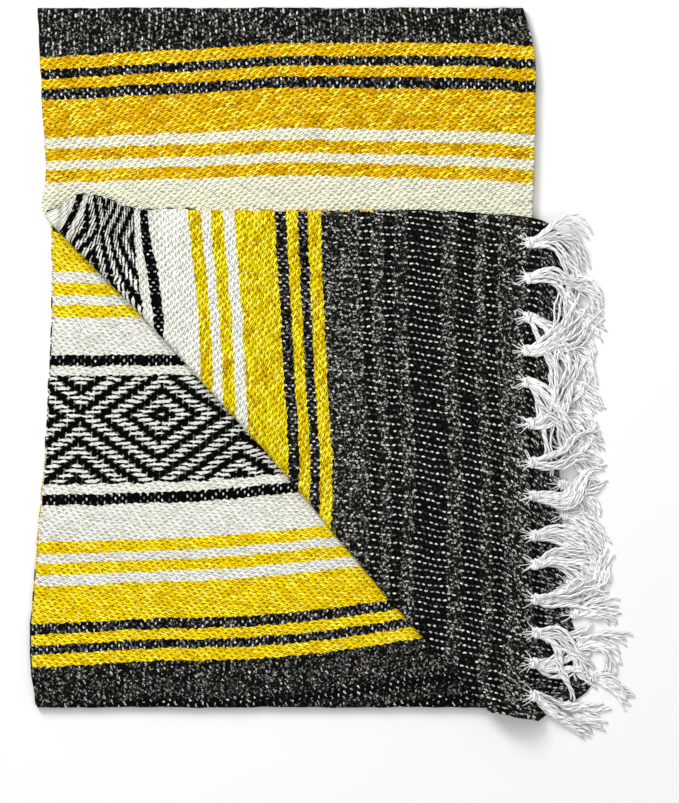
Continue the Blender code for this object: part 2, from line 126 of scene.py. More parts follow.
PLY_DRIFT = np.array(
    [
        # s, then s + v at each station: ply a from its selvedge, the fold, ply b to its selvedge
        (-1.000, 0.819, 0.829, 0.835, 0.857, 0.872, 0.874, 0.875, 0.877, 0.883, 0.889),
        (-0.800, 0.823, 0.831, 0.835, 0.857, 0.872, 0.874, 0.875, 0.877, 0.883, 0.889),
        (-0.600, 0.818, 0.821, 0.832, 0.856, 0.872, 0.876, 0.878, 0.885, 0.887, 0.889),
        (-0.400, 0.819, 0.819, 0.824, 0.853, 0.872, 0.876, 0.878, 0.885, 0.887, 0.889),
        (-0.190, 0.820, 0.820, 0.829, 0.856, 0.873, 0.876, 0.878, 0.885, 0.888, 0.890),
        (0.020, 0.818, 0.839, 0.855, 0.868, 0.877, 0.874, 0.874, 0.875, 0.884, 0.892),
        (0.220, 0.820, 0.845, 0.864, 0.879, 0.889, 0.885, 0.884, 0.880, 0.884, 0.887),
        (0.250, 0.903, 0.846, 0.865, 0.880, 0.890, 0.886, 0.885, 0.881, 0.884, 0.886),
        (0.300, 0.914, 0.848, 0.867, 0.882, 0.891, 0.888, 0.887, 0.882, 0.883, 0.883),
        (0.320, 0.888, 0.850, 0.868, 0.882, 0.891, 0.888, 0.887, 0.883, 0.883, 0.882),
        (0.340, 0.849, 0.852, 0.868, 0.883, 0.891, 0.889, 0.888, 0.883, 0.882, 0.881),
        (0.360, 0.827, 0.856, 0.869, 0.883, 0.892, 0.889, 0.888, 0.884, 0.882, 0.880),
        (0.420, 0.823, 0.850, 0.870, 0.885, 0.893, 0.892, 0.891, 0.886, 0.882, 0.878),
        (0.620, 0.824, 0.843, 0.870, 0.893, 0.901, 0.910, 0.908, 0.898, 0.889, 0.885),
        (0.860, 0.826, 0.840, 0.872, 0.895, 0.915, 0.972, 0.950, 0.913, 0.892, 0.880),
        (1.060, 0.826, 0.840, 0.872, 0.895, 0.915, 0.972, 0.950, 0.913, 0.892, 0.880),
    ]
)
print("tables:", len(STRIP_SIDES), "and", len(PLY_DRIFT), "rows")

# %% [markdown]
# ## Curves through tables
# A folded blanket never lies on straight lines, so its sides and stripes are read from short
# tables. A spline object could do that, but a cubic worked out on whole arrays gives every
# point of the cloth at once, and its slopes match at the stations, so no crease appears there.

# %% Two helpers: an eased step, and a cubic through a table
def smooth_step(t):
    """0 to 1 with level ends: t squared times (3 - 2t), held outside 0 to 1."""
    t = np.clip(t, 0.0, 1.0)
    return t * t * (3 - 2 * t)


def cubic(stations, values, at):
    """A cubic from station to station, whose slope at each is the slope across its neighbours.

    The last axis of values runs over the stations, and at holds the places to read.
    """
    at = np.clip(at, stations[0], stations[-1])
    values = np.broadcast_to(values, at.shape + (len(stations),))
    slopes = np.gradient(values, stations, axis=-1)
    left = np.clip(np.searchsorted(stations, at, side="right") - 1, 0, len(stations) - 2)
    width = stations[left + 1] - stations[left]
    t = (at - stations[left]) / width
    start, end, slope_out, slope_in = (
        np.take_along_axis(table, index[..., None], -1)[..., 0]
        for table, index in ((values, left), (values, left + 1), (slopes, left), (slopes, left + 1))
    )
    bend = width * t * (1 - t) * (slope_out * (1 - t) - slope_in * t)
    return start + (end - start) * smooth_step(t) + bend


def drift(u, s):
    """s + v of the cloth at u across it, where the strip is at s."""
    u, s = np.broadcast_arrays(u, s)
    by_ply = np.stack([cubic(PLY_DRIFT[:, 0], column, s) for column in PLY_DRIFT[:, 1:].T], axis=-1)
    return cubic(PLY_STATIONS, by_ply, u)


print("the cloth's shown end lies at s =", drift(np.array([-0.6, 0.0, 0.6]), 1.0).round(3))

# %% [markdown]
# ## From the woven cloth to the folded pile
# The cloth is doubled first: a point at u across it goes to one of two plies, joined by a
# small half circle at the fold. Then the doubled strip lies in its own flat plane, and that
# plane is bent at the top fold, at the bottom fold and round the diagonal roll.
# A cloth simulation would find its own folds, but not these ones, so the folds are formulas.

# %% The doubled strip's section and sides
def across_strip(u, outward):
    """Fraction across the strip and height off its middle, on a section of two plies.

    Past a quarter turn from the fold a ply is straight. On the turn, the point is at
    (radius cos a, radius sin a), where a is u over the fold's radius.
    """
    beyond_fold = np.maximum(np.abs(u) - QUARTER_TURN, 0.0)
    turn = np.clip(u / PLY_RADIUS, -math.pi / 2, math.pi / 2)
    radius = PLY_RADIUS + outward
    fraction = (STRIP_WIDTH - PLY_RADIUS - beyond_fold + radius * np.cos(turn)) / STRIP_WIDTH
    return fraction, radius * np.sin(turn)


def flat_x(u, fraction, s):
    """x in the strip's flat plane: from the selvedge side to the fold side by the fraction."""
    selvedge, fold = (cubic(STRIP_SIDES[:, 0], STRIP_SIDES[:, k], s) for k in (1, 2))
    return selvedge + (fold - selvedge) * fraction - PEEK * np.clip(u / HALF_WIDTH, 0, 1)


def past_roll(x, s):
    """Distance past the roll's axis, plus a bow 4 b t (1 - t) along it."""
    dx, dy = x - ROLL_THROUGH[0], TOP_FOLD_Y - s - ROLL_THROUGH[1]
    t = np.clip((dx * ROLL_AXIS[0] + dy * ROLL_AXIS[1]) / ROLL_BOW_LENGTH, 0, 1)
    return dx * ROLL_OUTWARD[0] + dy * ROLL_OUTWARD[1] + 4 * ROLL_BOW * t * (1 - t)


# %% Heights of the leaves, and the pile's right side
def ramp(y, between):
    """0 before the first y and 1 past the second, eased."""
    return smooth_step((between[0] - y) / (between[0] - between[1]))


def pile_side_x(y):
    """x of the pile's right side, where the turned-back end leaves it."""
    fold_side = STRIP_SIDES[:, 2]
    under = cubic(STRIP_SIDES[:, 0], fold_side, -(FOLD_ARC + TOP_FOLD_Y - y))
    return np.maximum(under, cubic(STRIP_SIDES[:, 0], fold_side, TOP_FOLD_Y - y))


def strip_point(x, s):
    """The strip's middle in space. s > 0 is the top leaf and, past the roll, the turned-back end.

    On the roll a point at distance d past the axis turns by d over the radius. Past it, it
    runs back over the leaf, settles, and droops to the floor beyond the pile's side.
    """
    x, s = np.broadcast_arrays(np.asarray(x, float), np.asarray(s, float))
    y = TOP_FOLD_Y - s
    past = past_roll(x, s)
    turn = np.clip(past / ROLL_RADIUS, 0, math.pi)
    back = np.maximum(past - ROLL_ARC, 0)
    shift = np.where(past > 0, ROLL_RADIUS * np.sin(turn) - back - past, 0.0)
    top_x, top_y = x + ROLL_OUTWARD[0] * shift, y + ROLL_OUTWARD[1] * shift
    settled = smooth_step(back / SETTLE_LENGTH)
    top_z = LOWEST_PAIR_Z + PAIR_PITCH * (1 + ramp(top_y, TOP_RAMP_Y))
    top_z = top_z + ROLL_RADIUS * (1 - np.cos(turn)) - (2 * ROLL_RADIUS - PAIR_PITCH) * settled
    off_pile = (top_x - pile_side_x(top_y) - DROOP_CLEARANCE) / DROOP_LENGTH
    top_z = top_z - (top_z - LOWEST_PAIR_Z) * np.where(back > 0, smooth_step(off_pile), 0.0)

    top_turn = np.clip(-s / FOLD_RADIUS, 0, math.pi)
    under_run = np.clip(-s - FOLD_ARC, 0, TOP_FOLD_Y - BOTTOM_FOLD_Y)
    bottom_turn = np.clip((UNDER_LEAF_END - s) / FOLD_RADIUS, 0, math.pi)
    tail_run = np.maximum(UNDER_LEAF_END - FOLD_ARC - s, 0)
    low_y = TOP_FOLD_Y + FOLD_RADIUS * np.sin(top_turn) - under_run
    low_y = low_y - FOLD_RADIUS * np.sin(bottom_turn) + tail_run
    fold_turn = np.where(bottom_turn > 0, bottom_turn, top_turn)
    on_fold = LOWEST_PAIR_Z + PAIR_PITCH - FOLD_RADIUS * (1 - np.cos(fold_turn))
    on_leaf = LOWEST_PAIR_Z + PAIR_PITCH * ramp(low_y, UNDER_RAMP_Y)
    low_z = np.where((under_run > 0) & (bottom_turn == 0), on_leaf, on_fold)
    levels = ((top_x, x), (top_y, low_y), (top_z, low_z))
    return np.stack([np.where(s >= 0, upper, lower) for upper, lower in levels], -1)


# %% Off the strip's middle
NORMAL_STEP = 1e-4


def strip_place(x, s, height):
    """A point at a height along the strip's normal, the cross product of its two slopes."""
    along = strip_point(x, s + NORMAL_STEP) - strip_point(x, s - NORMAL_STEP)
    across = strip_point(x + NORMAL_STEP, s) - strip_point(x - NORMAL_STEP, s)
    normal = np.cross(along, across)
    normal /= np.linalg.norm(normal, axis=-1, keepdims=True)
    return strip_point(x, s) + normal * np.asarray(height)[..., None]


print("the top fold lies at", strip_point(np.zeros(1), np.zeros(1))[0].round(4))

# %% [markdown]
# ## Softness
# A heavy cotton and wool cloth lies in shallow swells, with a few creases near its folds.
# They could be simulated, but the photograph shows which ones there are. Each is added to the
# height of whatever lies there, in step with how high it lies, so that all the leaves rise and
# fall together, none cuts another, and the lowest stays on the floor.

# %% Swells and creases over the pile
CREASES = np.array(
    [
        # x, y from; x, y to; half width; height as a share of the pile's own height
        (-0.282, 0.188, -0.222, 0.201, 0.007, 0.42),
        (-0.222, 0.201, -0.178, 0.182, 0.007, 0.34),
        (-0.272, 0.172, -0.206, 0.178, 0.004, -0.26),
        (-0.206, 0.178, -0.150, 0.166, 0.004, -0.20),
        (-0.262, 0.158, -0.212, 0.150, 0.006, 0.24),
        (-0.246, 0.140, -0.196, 0.128, 0.004, -0.20),
        (-0.284, 0.176, -0.262, 0.160, 0.0035, 0.30),
        (-0.256, 0.178, -0.200, 0.120, 0.0030, 0.20),
        (-0.246, 0.182, -0.190, 0.126, 0.0030, -0.20),
        (-0.234, 0.182, -0.182, 0.128, 0.0030, 0.18),
        (-0.222, 0.180, -0.170, 0.126, 0.0030, -0.16),
        (-0.208, 0.178, -0.162, 0.130, 0.0030, 0.14),
        (-0.232, 0.126, -0.150, 0.060, 0.006, 0.14),
        (-0.190, 0.150, -0.150, 0.080, 0.005, -0.12),
        (-0.300, 0.4080, 0.280, 0.4110, 0.0028, -0.22),
        (-0.290, 0.4025, -0.050, 0.4030, 0.0030, 0.08),
        (0.200, 0.150, 0.330, 0.120, 0.030, 0.06),
        (-0.100, 0.360, 0.180, 0.380, 0.050, -0.05),
        (0.040, 0.040, 0.220, -0.110, 0.050, -0.05),
        (-0.240, -0.200, -0.020, -0.190, 0.030, -0.06),
        (-0.200, -0.330, 0.060, -0.310, 0.040, 0.05),
    ]
)
SWELLS = np.array(
    [
        # waves per metre along x and along y, phase, share of the height
        (3.1, 1.3, 0.4, 0.030),
        (-1.7, 4.3, 2.1, 0.028),
        (7.3, 5.9, 4.0, 0.016),
        (-11.9, 8.7, 1.2, 0.010),
        (16.7, 19.1, 3.3, 0.007),
    ]
)


def softness(x, y):
    """Share by which heights grow at (x, y): sines for swells, and a bell across each crease."""
    share = np.zeros(np.broadcast(x, y).shape)
    for wave_x, wave_y, phase, height in SWELLS:
        share += height * np.sin(2 * math.pi * (wave_x * x + wave_y * y) + phase)
    for from_x, from_y, to_x, to_y, half_width, height in CREASES:
        run = np.array((to_x - from_x, to_y - from_y))
        t = np.clip(((x - from_x) * run[0] + (y - from_y) * run[1]) / (run @ run), 0, 1)
        away = np.hypot(x - from_x - run[0] * t, y - from_y - run[1] * t)
        share += height * np.exp(-((away / half_width) ** 2))
    return share


WOBBLES = np.array(
    [
        # waves per metre, phase along y, phase along x, metres
        (6.1, 0.3, 1.9, 0.0004),
        (17.3, 2.6, 4.4, 0.0003),
        (31.0, 5.1, 0.7, 0.0003),
    ]
)


def soften(points):
    """Scales heights by one plus the softness, then moves x by sines of y, and y by sines of x."""
    softened = points.copy()
    softened[..., 2] *= 1 + softness(points[..., 0], points[..., 1])
    for waves, phase_y, phase_x, reach in WOBBLES:
        softened[..., 0] += reach * np.sin(2 * math.pi * waves * points[..., 1] + phase_y)
        softened[..., 1] += reach * np.sin(2 * math.pi * waves * points[..., 0] + phase_x)
    return softened


print("softness in the middle of the pile:", softness(np.zeros(1), np.zeros(1)).round(3))

# %% [markdown]
# ## Meshes from grids
# Each piece is a grid of points. Blender has a grid of its own, but points that numpy has
# worked out need only faces. One helper turns them into an object that rides on the part's
# body, and stores where each point is on the cloth, because the stripes follow the weave and
# not the room.

# %% An object from points and faces
def make_piece(name, points, faces, attributes=()):
    """A smooth mesh object at the origin. attributes holds (name, three numbers for each point)."""
    mesh = bpy.data.meshes.new(name)
    mesh.from_pydata(points.reshape(-1, 3).tolist(), [], faces)
    for label, values in attributes:
        stored = mesh.attributes.new(label, "FLOAT_VECTOR", "POINT")
        stored.data.foreach_set("vector", np.asarray(values, np.float32).reshape(-1))
    mesh.shade_smooth()
    piece = bpy.data.objects.new(name, mesh)
    bpy.context.scene.collection.objects.link(piece)
    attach(piece, "root")
    return piece


def grid_faces(rows, columns, first=0, flip=False):
    """Quads between neighbouring rows and columns, as whole arrays."""
    corner = np.arange(rows - 1)[:, None] * columns + np.arange(columns - 1)[None, :]
    corner = corner.reshape(-1) + first
    quads = np.stack([corner, corner + columns, corner + columns + 1, corner + 1], axis=-1)
    return quads[:, ::-1] if flip else quads


# %% [markdown]
# ## The cloth
# The cloth is a closed sheet with two faces and a rim. One layer with a Solidify modifier could
# do it, but a second face from the same formulas keeps its thickness true round tight folds.
# Its rows follow the warp from the shown end to the tucked one, and crowd where it bends.

# %% Rows and columns of the cloth
STEPS = {
    "shown end": 26,
    "turned back": 84,
    "roll": 18,
    "top leaf": 62,
    "fold": 8,
    "under leaf": 96,
    "tail": 14,
}
SHOWN_END_BAND = 0.030
LEAST_TURNED_BACK_SHARE = 0.35
PLY_COLUMNS = 58
COLUMN_CROWDING = 0.35
FOLD_COLUMNS = 8
HALVINGS = 40


def cloth_columns():
    """u of each column: ply a from its selvedge, the turn of the fold, ply b."""
    even = np.linspace(0, 1, PLY_COLUMNS + 1)
    ply = -HALF_WIDTH + (HALF_WIDTH - QUARTER_TURN) * (even * (1 + COLUMN_CROWDING * (1 - even)))
    turn = np.linspace(-QUARTER_TURN, QUARTER_TURN, FOLD_COLUMNS + 1)[1:-1]
    return np.concatenate([ply, turn, -ply[::-1]])


def roll_line(u, fraction, goal):
    """s where each column is a given distance past the roll's axis, found by halving."""
    low, high = np.zeros_like(u), np.ones_like(u)
    for _ in range(HALVINGS):
        middle = (low + high) / 2
        reached = past_roll(flat_x(u, fraction, middle), middle) > goal
        low, high = np.where(reached, low, middle), np.where(reached, middle, high)
    return (low + high) / 2


def cloth_rows(u, fraction):
    """s of each row: even steps between the places where the cloth starts to bend."""
    level = np.zeros_like(u)
    shown_end, tucked_end = drift(u, 1.0), drift(u, -1.0) - CLOTH_LENGTH
    roll_out, roll_in = roll_line(u, fraction, ROLL_ARC), roll_line(u, fraction, 0.0)
    band = np.minimum(shown_end, drift(-np.abs(u), 1.0)) - SHOWN_END_BAND
    band = np.maximum(band, roll_out + (shown_end - roll_out) * LEAST_TURNED_BACK_SHARE)
    fold_out = level - FOLD_ARC
    stops = [shown_end, band, roll_out, roll_in, level, fold_out, level + UNDER_LEAF_END]
    stops += [stops[-1] - FOLD_ARC, tucked_end]
    lengths = ("shown end", "turned back", "roll", "top leaf", "fold", "under leaf", "fold", "tail")
    counts = [STEPS[length] for length in lengths]
    rows = [
        start + (end - start) * i / count
        for start, end, count in zip(stops, stops[1:], counts)
        for i in range(count)
    ]
    return np.array(rows + [tucked_end])


# %% The cloth's two faces and its rim
def build_cloth():
    """The outer and the inner face on one grid of (s, u), joined by a rim."""
    u = cloth_columns()
    s = cloth_rows(u, across_strip(u, 0.0)[0])
    sides = []
    for outward in (CLOTH_THICKNESS / 2, -CLOTH_THICKNESS / 2):
        fraction, height = across_strip(u, outward)
        x = flat_x(u[None, :], fraction[None, :], s)
        sides.append(soften(strip_place(x, s, np.broadcast_to(height, s.shape))))
    rows, columns = s.shape
    count = rows * columns
    rim = np.concatenate(
        [
            np.arange(columns),
            np.arange(1, rows) * columns + columns - 1,
            (rows - 1) * columns + np.arange(columns - 2, -1, -1),
            np.arange(rows - 2, 0, -1) * columns,
        ]
    )
    following = np.roll(rim, -1)
    edge = np.stack([rim, following, following + count, rim + count], axis=-1)
    outer, inner = grid_faces(rows, columns), grid_faces(rows, columns, count, flip=True)
    faces = np.concatenate([outer, inner, edge])
    warp = drift(u[None, :], s) - s
    place = np.stack([np.broadcast_to(u, s.shape), warp, np.zeros_like(s)], axis=-1)
    stored = [("cloth_place", np.concatenate([place, place]))]
    piece = make_piece("woven_cloth", np.concatenate(sides), faces.tolist(), stored)
    print("cloth:", rows, "x", columns, "points a side,", 2 * len(faces), "triangles")
    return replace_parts(piece, "blanket_cloth")


cloth = build_cloth()

# %% [markdown]
# ## The fringes
# The warp runs on past the last weft. It is knotted in bunches, and each bunch is a spray of
# plied yarns, which part into strands and lie over one another in loose curls. A hair system
# could do it, but yarns this thick are tubes, so each is one: a ring carried along a wandering
# line, and lobed, with the lobes turning along it, because two threads are twisted together.

# %% Sizes of the fringes
YARN_SIDES = 8
YARN_POINTS = 30
YARN_RADIUS = 0.0015
YARN_TWIST_PITCH = 0.0120
YARN_LOBE = 0.24
HEAD_LENGTH = 0.009
HEAD_WRAPS = 2.5
HEAD_MIDDLE = 0.0010
HEAD_RISE = 0.0026
WRAP_THICKNESS = 1.35
CORE_POINTS = 12
CORE_OVERLAP = 0.002
CORE_HEIGHT = 0.0012
SPLAY_THREADS = 6
SPLAY_POINTS = 10
SPLAY_FAN = 1.15
SPLAY_LENGTH = (0.011, 0.019)
SPLAY_LIFT = 0.0011
SPLAY_RADIUS = 0.0008
FRINGES = (
    # name, solid, ply, tassels, yarns, length, half width of a head, height of a bunch, seed
    ("front_tassels", "fringe_front", -1, 14, 19, 0.098, 0.0052, 0.0095, 3),
    ("behind_tassels", "fringe_behind", 1, 14, 15, 0.060, 0.0050, 0.0055, 5),
)
TASSELS_FROM_EDGE = 0.012
TASSEL_JITTER = 0.005
print("tassels:", sum(row[3] for row in FRINGES), "yarns:", sum(row[3] * row[4] for row in FRINGES))

# %% How a bunch bends: headings off the warp's own direction, in radians
LEAN = 0.45
LEAN_FADE = 0.6
CURL = (0.7, 2.6)
WAVE = (0.25, 0.70)
WAVES = (0.7, 1.2)
FURTHEST_TURN = 1.25
CORNER_TASSELS = 0.505
CORNER_BLEND = 0.05
CORNER_LEAN = 0.66
CORNER_CALM = 0.85
CORNER_HOLD = 0.4
STRAIGHT_LENGTH = 0.84
CURL_LENGTH = 0.14
STRANDS = 5
# a strand's parting, reach, waves, phase and layer: the least of each, and its range
STRAND_LEAST = (-0.45, 0.15, 0.8, 0.0, 0.0)
STRAND_RANGE = (0.9, 0.45, 0.9, 2 * math.pi, 0.7)
YARN_SWAY = (0.05, 0.24)
YARN_WAVES = (0.8, 2.1)
YARN_DRIFT = 0.09
YARN_FAN = 0.35
FAN_FADE = 0.8
STRAY_CHANCE = 0.15
STRAY_SWAY = 2.4
SHORTEST_YARN = 0.72
YARN_THICKNESS = (0.80, 1.10)
LOWEST_LAYER = -0.0005
LAYER_RANGE = 0.3
LAYER_WAVE = 0.0008
LAYER_WAVES = (1.0, 2.2)
DROP = 0.0022
DROP_FROM = 0.055
DROP_RUN = 0.02


# %% Places past the cloth's end
def past_end(side, at, beyond, sideways, height):
    """Places past the shown end, at a distance from the selvedge and a height over the ply."""
    u = np.full_like(beyond, side * (HALF_WIDTH - at))
    end = drift(u, 1.0)
    fraction, middle = across_strip(u, 0.0)
    return soften(strip_place(flat_x(u, fraction, end) + sideways, end + beyond, middle - height))


# %% A yarn: rings carried along a line
def tube(line, radius, phase, which):
    """Rings round a line. Each ring has two lobes, r (1 + e cos 2a), which turn along the yarn."""
    slope = np.gradient(line, axis=0)
    slope /= np.linalg.norm(slope, axis=1, keepdims=True)
    side = np.cross(slope, (0.0, 0.0, 1.0))
    side /= np.linalg.norm(side, axis=1, keepdims=True)
    up = np.cross(side, slope)
    run = np.concatenate([[0], np.cumsum(np.linalg.norm(np.diff(line, axis=0), axis=1))])[:, None]
    angle = np.linspace(0, 2 * math.pi, YARN_SIDES, endpoint=False)[None, :]
    twist = 2 * math.pi * run / YARN_TWIST_PITCH
    reach = radius[:, None] * (1 + YARN_LOBE * np.cos(2 * angle - twist + phase))
    rings = line[:, None, :] + side[:, None, :] * (reach * np.cos(angle))[..., None]
    rings += up[:, None, :] * (reach * np.sin(angle))[..., None]
    turned = (2 * angle - twist + phase) / (2 * math.pi)
    place = np.stack(np.broadcast_arrays(turned, which, 0.0), axis=-1)
    return rings.reshape(-1, 3), place.reshape(-1, 3)


def tube_faces(rings, first):
    """Quads round and along a tube, with a cap on each end."""
    around = np.arange(YARN_SIDES)
    following = (around + 1) % YARN_SIDES
    start = first + np.arange(rings - 1)[:, None] * YARN_SIDES
    ahead = start + YARN_SIDES
    quads = np.stack([start + around, start + following, ahead + following, ahead + around])
    caps = [(first + around[::-1]).tolist(), (first + (rings - 1) * YARN_SIDES + around).tolist()]
    return quads.reshape(4, -1).T.tolist() + caps


class YarnPile:
    """Collects yarns into one mesh."""

    def __init__(self):
        self.points, self.places, self.faces, self.count = [], [], [], 0

    def add(self, line, radius, rng):
        line[:, 2] = np.maximum(line[:, 2], radius * (1 + YARN_LOBE))
        points, places = tube(line, radius, rng.uniform(0, 2 * math.pi), rng.uniform())
        self.points.append(points)
        self.places.append(places)
        self.faces += tube_faces(len(line), self.count)
        self.count += len(points)


# %% A tassel: its spray of yarns, its wrapped head and the threads behind it
def heading_line(start, headings, length):
    """A plane path: the running sums of the cosine and the sine of its heading."""
    step = length / (len(headings) - 1)
    beyond = np.concatenate([[0], np.cumsum(np.cos(headings[:-1]))]) * step
    sideways = start + np.concatenate([[0], np.cumsum(np.sin(headings[:-1]))]) * step
    return beyond, sideways


def sway(t, waves, rng):
    """A sine along a yarn. How many waves it has, and its phase, are drawn at random."""
    return np.sin(2 * math.pi * rng.uniform(*waves) * t + rng.uniform(0, 2 * math.pi))


def add_spray(pile, side, centre, yarns, length, half_width, bunch_height, rng):
    """Yarns that share a bunch's bends, part into strands, and each sway a little by themselves.

    t runs from 0 at the head to 1 at the tips. The bunch swells, then lies down.
    """
    t = np.linspace(0, 1, YARN_POINTS)
    corner = smooth_step((centre - CORNER_TASSELS) / CORNER_BLEND)
    lean, curl = rng.normal(0, LEAN), rng.choice((-1.0, 1.0)) * rng.uniform(*CURL)
    lean, curl = lean + (CORNER_LEAN - lean) * corner, curl * (1 - CORNER_CALM * corner)
    wave, wave_at, waves = rng.uniform(*WAVE), rng.uniform(0, 2 * math.pi), rng.uniform(*WAVES)
    waving = wave * np.sin(2 * math.pi * waves * t + wave_at) * np.sqrt(t)
    shared = lean * (1 - LEAN_FADE * t) + curl * t + waving
    shared = FURTHEST_TURN * np.tanh(shared / FURTHEST_TURN)
    length = length * (STRAIGHT_LENGTH + CURL_LENGTH * abs(curl))
    strands = rng.uniform(size=(STRANDS, len(STRAND_LEAST))) * STRAND_RANGE + STRAND_LEAST
    for k in range(yarns):
        across = (k + 0.5) / yarns * 2 - 1
        parting, reach, strand_waves, phase, strand_layer = strands[k * STRANDS // yarns]
        parting = parting + reach * np.sin(2 * math.pi * strand_waves * t + phase)
        parting = parting * (1 - CORNER_HOLD * corner)
        stray = STRAY_SWAY if rng.uniform() < STRAY_CHANCE else 1.0
        own = rng.uniform(*YARN_SWAY) * sway(t, YARN_WAVES, rng)
        spread = across * YARN_FAN * (1 - FAN_FADE * t) + rng.normal(0, YARN_DRIFT) * t
        heading = shared + spread + (parting + own * stray) * t ** 0.5
        yarn_length = length * rng.uniform(SHORTEST_YARN, 1.0)
        beyond, sideways = heading_line(across * half_width, heading, yarn_length)
        layer = strand_layer + rng.uniform(0, LAYER_RANGE)
        swell = np.sin(math.pi * np.clip(0.12 + t * 0.9, 0, 1)) ** 0.8
        height = LOWEST_LAYER + bunch_height * layer * swell
        height += LAYER_WAVE * sway(t, LAYER_WAVES, rng) * t
        height -= DROP * smooth_step((beyond - DROP_FROM) / DROP_RUN)
        line = past_end(side, centre, beyond + HEAD_LENGTH * 0.8, sideways, height)
        radius = YARN_RADIUS * rng.uniform(*YARN_THICKNESS) * np.clip((1.03 - t) * 12, 0, 1) ** 0.6
        pile.add(line, radius, rng)


def add_head(pile, side, centre, half_width, rng):
    """A yarn wrapped round the bunch: an ellipse that advances as it turns, over a padded core."""
    turn = np.linspace(0, 2 * math.pi * HEAD_WRAPS, YARN_POINTS) + rng.uniform(0, 2 * math.pi)
    advance = np.linspace(0.1, 0.9, YARN_POINTS) * HEAD_LENGTH
    bulge = half_width * (0.85 + 0.25 * np.sin(np.linspace(0, math.pi, YARN_POINTS)))
    height = HEAD_MIDDLE + HEAD_RISE * np.sin(turn)
    line = past_end(side, centre, advance, bulge * np.cos(turn), height)
    pile.add(line, np.full(YARN_POINTS, YARN_RADIUS * WRAP_THICKNESS), rng)
    core = np.linspace(-CORE_OVERLAP, HEAD_LENGTH, CORE_POINTS)
    for lateral in (-0.45, 0.45):
        off_centre = np.full_like(core, lateral * half_width)
        line = past_end(side, centre, core, off_centre, np.full_like(core, CORE_HEIGHT))
        pile.add(line, np.full_like(core, half_width * 0.5), rng)


def add_splay(pile, side, centre, half_width, rng):
    """Thin warp threads that fan back over the cloth from a head."""
    t = np.linspace(0, 1, SPLAY_POINTS)
    for k in range(SPLAY_THREADS):
        fan = ((k + 0.5) / SPLAY_THREADS * 2 - 1) * SPLAY_FAN + rng.normal(0, 0.12)
        heading = math.pi + fan * (1 - 0.45 * t) + rng.normal(0, 0.3) * t
        thread_length = rng.uniform(*SPLAY_LENGTH)
        beyond, sideways = heading_line(-fan * half_width * 0.2, heading, thread_length)
        height = CLOTH_THICKNESS / 2 + SPLAY_LIFT * (1 - t)
        line = past_end(side, centre, beyond + 0.002, sideways, height)
        pile.add(line, SPLAY_RADIUS * (1 - 0.55 * t), rng)


def build_fringe(name, solid, side, tassels, yarns, length, half_width, bunch_height, seed):
    """Tassels spaced along one half of the cloth's end."""
    rng = np.random.default_rng(seed)
    run = HALF_WIDTH - 2 * TASSELS_FROM_EDGE
    centres = TASSELS_FROM_EDGE + run * (np.arange(tassels) + 0.5) / tassels
    centres += rng.uniform(-TASSEL_JITTER, TASSEL_JITTER, tassels)
    pile = YarnPile()
    for centre in centres:
        add_spray(pile, side, centre, yarns, length, half_width, bunch_height, rng)
        add_head(pile, side, centre, half_width, rng)
        add_splay(pile, side, centre, half_width, rng)
    stored = [("yarn_place", np.concatenate(pile.places))]
    piece = make_piece(name, np.concatenate(pile.points), pile.faces, stored)
    print(name, 2 * len(pile.faces), "triangles")
    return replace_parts(piece, solid)


fringes = [build_fringe(*row) for row in FRINGES]

# %% [markdown]
# ## Shader maths
# A finish is a graph of nodes. Written node by node it is hard to read, so one small class
# wraps a socket and lets Python's own operators add the Math nodes.

# %% A value in a node tree, and a finish
class Value:
    """An output socket that takes part in arithmetic."""

    def __init__(self, finish, socket):
        self.finish, self.socket = finish, socket

    def _with(self, operation, *others):
        return self.finish.node("ShaderNodeMath", {"operation": operation}, [self, *others])

    def __add__(self, other):
        return self._with("ADD", other)

    def __mul__(self, other):
        return self._with("MULTIPLY", other)

    def __sub__(self, other):
        return self._with("SUBTRACT", other)

    def __rsub__(self, other):
        return self.finish.node("ShaderNodeMath", {"operation": "SUBTRACT"}, [other, self])

    def __truediv__(self, other):
        return self._with("DIVIDE", other)

    def __gt__(self, other):
        return self._with("GREATER_THAN", other)

    __radd__ = __add__
    __rmul__ = __mul__

    def floor(self):
        return self._with("FLOOR")

    def fract(self):
        return self._with("FRACT")

    def abs(self):
        return self._with("ABSOLUTE")

    def power(self, other):
        return self._with("POWER", other)

    def least(self, other):
        return self._with("MINIMUM", other)

    def most(self, other):
        return self._with("MAXIMUM", other)

    def eased(self, low, high):
        """0 at low and 1 at high, with a smooth step between."""
        limits = {"Value": self, "From Min": low, "From Max": high}
        return self.finish.node("ShaderNodeMapRange", {"interpolation_type": "SMOOTHSTEP"}, limits)


